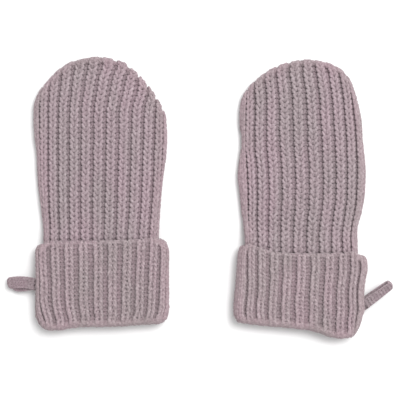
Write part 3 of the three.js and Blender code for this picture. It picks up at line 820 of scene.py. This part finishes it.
def wool(name, light, dark, pink, grey, plied=True):
    """Heathered wool: fibres of two shades, warmer and greyer stretches, and a twisted, hairy surface, with
    painted shade at the rounded edges, in the knitting's depths and, when plied, in the grooves between
    plies.
    """
    nodes = Nodes(name)
    place = nodes.add("ShaderNodeTexCoord").outputs["Object"]
    long_way = nodes.add("ShaderNodeMapping", {"Vector": place, "Scale": (1.0, 0.28, 1.0)}).outputs["Vector"]
    cast = nodes.noise(long_way, WOOL["cast"], 2.0, 0.55)
    shade = nodes.ramp(cast, (0.34, linear(*grey)), (0.66, linear(*pink)))
    flecks = nodes.noise(place, WOOL["flecks"], 3.0, 0.65)
    heather = nodes.ramp(flecks, (0.36, linear(*dark)), (0.5, linear(*pink)), (0.66, linear(*light)))
    colour = nodes.mix(WOOL["heather"], shade, heather)
    # painted shade from the point attributes: darker and pinker at the rounded edges, darker in the
    # knitting's depths
    for held, tint in PAINTED_SHADE_TINTS.items():
        amount = nodes.add("ShaderNodeAttribute", attribute_name=held).outputs["Fac"]
        colour = nodes.mix(1.0, colour, nodes.mix(amount, (1, 1, 1), tint), "MULTIPLY")
    hairs = nodes.noise(place, WOOL["hairs"], 2.0, 0.6)
    height = nodes.maths("MULTIPLY", hairs, 0.5)
    if plied:
        along = nodes.add("ShaderNodeUVMap", uv_map="yarn").outputs["UV"]
        parts = nodes.add("ShaderNodeSeparateXYZ", {"Vector": along})
        turned = nodes.maths("MULTIPLY", parts.outputs["X"], WOOL["twist"])
        plies = nodes.maths("MULTIPLY", parts.outputs["Y"], WOOL["plies"])
        angle = nodes.maths("MULTIPLY", nodes.maths("ADD", turned, plies), 2 * math.pi)
        wave = nodes.maths("SINE", angle)
        height = nodes.maths("MULTIPLY_ADD", wave, 0.3, height)
        # painted shade: the yarn darkens in the grooves between its twisted plies
        dip = nodes.maths("MULTIPLY_ADD", wave, 0.5, 0.5)
        ply_groove_shade = nodes.ramp(dip, (0.0, PLY_GROOVE_SHADE), (0.5, (1, 1, 1)))
        colour = nodes.mix(0.6, colour, ply_groove_shade, "MULTIPLY")
    bump = nodes.add("ShaderNodeBump", {"Height": height, "Strength": 0.5, "Distance": 0.0002})
    shader = nodes.add("ShaderNodeBsdfPrincipled", {
        "Base Color": colour, "Roughness": 0.92, "Normal": bump.outputs["Normal"], "Specular IOR Level": 0.22,
        "Sheen Weight": 0.35, "Sheen Roughness": 0.5, "Sheen Tint": (0.95, 0.88, 0.9, 1),
    })
    output = nodes.add("ShaderNodeOutputMaterial")
    nodes.tree.links.new(shader.outputs["BSDF"], output.inputs["Surface"])
    return nodes.material


# Pieces


def hand_pieces(mitten, finish):
    name = mitten["name"]
    tube = hand_tube(mitten)
    top = max(up for _, up in mitten["crown"]) + tube.overhang - 0.3
    count = int((top - min(up for _, up in mitten["cuff"]["hem"]) + 4) / HAND_ROW)

    def course(row, x):
        return top - (count - row) * HAND_ROW + 0 * x

    knit = Knit(tube, mitten["ribs"], course, HAND_STITCH, HAND_YARN, -1, 12)
    rows = range(0, count + 1)
    closing = np.arange(count - 4, count + 0.1, 0.25)
    cloth = under_cloth(knit, np.concatenate([np.arange(-0.5, count - 4, 1), closing]))
    base = cloth.build(f"{name}_hand_cloth", mitten, finish["under"], "hand_rib", weld=True)
    yarn = [
        knit_side(knit, rows, True).build(f"{name}_hand_front_knit", mitten, finish["hand"], "hand_rib"),
        knit_side(knit, rows, False).build(f"{name}_hand_back_knit", mitten, finish["hand"], "hand_rib"),
    ]
    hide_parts(f"{name}_front", f"{name}_back")


def cuff_pieces(mitten, finish):
    name = mitten["name"]
    cuff = mitten["cuff"]
    tube = cuff_tube(mitten)
    hem, fold = curve(cuff["hem"]), curve(cuff["fold_course"])

    def course(row, x):
        part = (0.6 - row) / CUFF_ROWS
        return hem(x) + (fold(x) - hem(x)) * part

    knit = Knit(tube, cuff["ribs"], course, CUFF_STITCH, CUFF_YARN, -2, 12, free_edge=0.3)
    rows = range(0, -CUFF_ROWS - 4, -1)
    turning = 2 - CUFF_ROWS
    closing = np.arange(turning, turning - 5, -0.5)
    cloth = under_cloth(knit, np.concatenate([np.arange(0.2, turning, -1), closing]))
    base = cloth.build(f"{name}_cuff_cloth", mitten, finish["under"], "cuff_rib", weld=True)
    yarn = [
        knit_side(knit, rows, True).build(f"{name}_cuff_front_knit", mitten, finish["cuff"], "cuff_rib"),
        knit_side(knit, rows, False).build(f"{name}_cuff_back_knit", mitten, finish["cuff"], "cuff_rib"),
    ]
    for front, side in ((True, "front"), (False, "back")):
        strands = cast_on(knit, front)
        yarn.append(strands.build(f"{name}_cuff_{side}_edge", mitten, finish["cuff"], "cuff_rib"))
    tape = Tape(mitten["loop"])
    body = tape_cloth(tape)
    loop_body = body.build(f"{name}_loop_tape", mitten, finish["tape_under"], "loop_tape", weld=True)
    yarn += [
        loop_body,
        tape_knit(tape).build(f"{name}_loop_knit", mitten, finish["tape"], "loop_tape"),
        root_stitches(mitten["loop"]).build(f"{name}_loop_stitches", mitten, finish["tape"], "loop_tape"),
    ]
    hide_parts(f"{name}_cuff_front", f"{name}_cuff_back")
    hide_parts(f"{name}_loop")


finish = {
    "hand": wool("hand_wool", (202, 188, 193), (112, 97, 103), (163, 143, 150), (151, 141, 142)),
    "cuff": wool("cuff_wool", (202, 188, 192), (112, 97, 103), (163, 143, 149), (151, 141, 141)),
    # painted shade: a darker copy of the wool for the cloth under the yarn, so the gaps between the yarn look
    # shaded
    "under": wool("shaded_under_wool", (150, 136, 141), (88, 76, 82), (118, 102, 108), (111, 103, 104), plied=False),
    "tape": wool("tape_wool", (196, 182, 187), (112, 95, 102), (158, 138, 145), (148, 138, 139)),
    # painted shade: a darker copy of the tape's wool for its body under the yarn
    "tape_under": wool("shaded_tape_under_wool", (150, 134, 140), (84, 70, 76), (120, 102, 109), (112, 102, 104),
                       plied=False),
}
for mitten in MITTENS:
    hand_pieces(mitten, finish)
    cuff_pieces(mitten, finish)

# Floor, light and camera

CAMERA_CENTRE = (-0.03 * MM, -1.21 * MM)
VIEW_WIDTH = 0.2
CAMERA_LENS = 100
CAMERA_SENSOR = 36
FRAMED_HEIGHT = 6 * MM
FLOOR = {"half": 3.0, "colour": (0.87, 0.87, 0.87, 1)}
KEY_LAMP = {"place": (0.3, 0.31, 1.0), "size": 0.48, "power": 10.4}
SKY_STRENGTH = 0.7


def make_floor():
    half = FLOOR["half"]
    corners = [(-half, -half, 0), (half, -half, 0), (half, half, 0), (-half, half, 0)]
    mesh = bpy.data.meshes.new("floor")
    mesh.from_pydata(corners, [], [(0, 1, 2, 3)])
    nodes = Nodes("floor_white")
    shader = nodes.add("ShaderNodeBsdfPrincipled", {
        "Base Color": FLOOR["colour"], "Roughness": 0.9, "Specular IOR Level": 0.1,
    })
    output = nodes.add("ShaderNodeOutputMaterial")
    nodes.tree.links.new(shader.outputs["BSDF"], output.inputs["Surface"])
    mesh.materials.append(nodes.material)
    floor = bpy.data.objects.new("floor", mesh)
    bpy.context.scene.collection.objects.link(floor)


def make_lamp(name, place, size, power):
    lamp = bpy.data.lights.new(name, "AREA")
    lamp.shape = "SQUARE"
    lamp.size = size
    lamp.energy = power
    shown = bpy.data.objects.new(name, lamp)
    shown.location = place
    aim = -shown.location
    shown.rotation_euler = aim.to_track_quat("-Z", "Y").to_euler()
    bpy.context.scene.collection.objects.link(shown)


def make_camera():
    lens = bpy.data.cameras.new("camera")
    lens.lens = CAMERA_LENS
    lens.sensor_width = CAMERA_SENSOR
    camera = bpy.data.objects.new("camera", lens)
    camera.location = (*CAMERA_CENTRE, VIEW_WIDTH * CAMERA_LENS / CAMERA_SENSOR + FRAMED_HEIGHT)
    camera.rotation_euler = (0, 0, 0)
    bpy.context.scene.collection.objects.link(camera)
    bpy.context.scene.camera = camera


def make_sky(strength):
    world = bpy.data.worlds.new("studio")
    world.use_nodes = True
    world.node_tree.nodes["Background"].inputs["Color"].default_value = (1, 1, 1, 1)
    world.node_tree.nodes["Background"].inputs["Strength"].default_value = strength
    bpy.context.scene.world = world


bpy.context.scene.view_settings.view_transform = "Standard"
make_floor()
make_lamp("key", **KEY_LAMP)
make_sky(SKY_STRENGTH)
make_camera()
